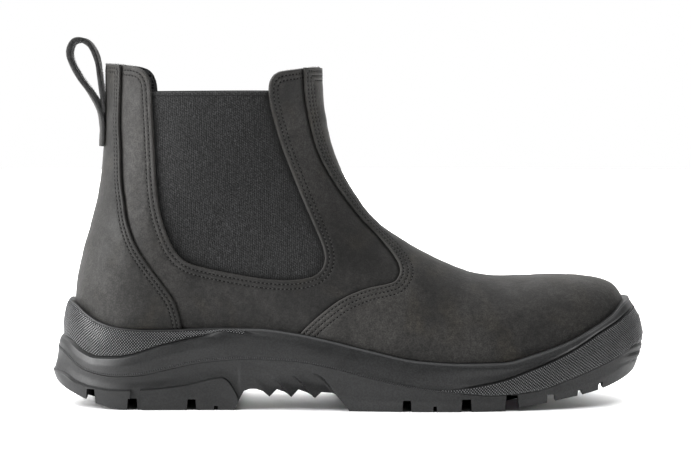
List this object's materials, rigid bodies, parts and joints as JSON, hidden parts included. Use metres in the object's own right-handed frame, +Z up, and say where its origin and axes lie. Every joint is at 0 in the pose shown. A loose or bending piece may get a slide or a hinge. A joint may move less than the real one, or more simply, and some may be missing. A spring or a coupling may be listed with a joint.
{
  "type": "side gore work boot",
  "caption": "Right ankle-high slip-on work boot: hollow leather upper with elastic side gores, leather vamp and back strip, pull loop and a lugged cup sole with an arch",
  "frame": {"origin": "on the floor, under the middle of the sole's length and width", "axes": "+X towards the toe, +Y towards the medial side, +Z up"},
  "size_m": [0.3064, 0.1134, 0.187],
  "materials": {
    "outsole_rubber": "matt moulded rubber",
    "midsole_rubber": "matt moulded rubber with a soft sheen",
    "insole_board": "matt felt",
    "leather": "waxed nubuck, matt",
    "leather_overlay": "waxed nubuck, matt",
    "elastic": "ribbed elastic webbing, matt",
    "strap": "leather with a rough flesh side"
  },
  "bodies": {
    "root": {"outsole": "outsole_rubber", "midsole": "midsole_rubber", "insole": "insole_board", "upper": "leather", "vamp": "leather_overlay", "back_strip": "leather_overlay", "gore_lateral": "elastic", "gore_medial": "elastic", "pull_loop": "strap"}
  },
  "joints": []
}
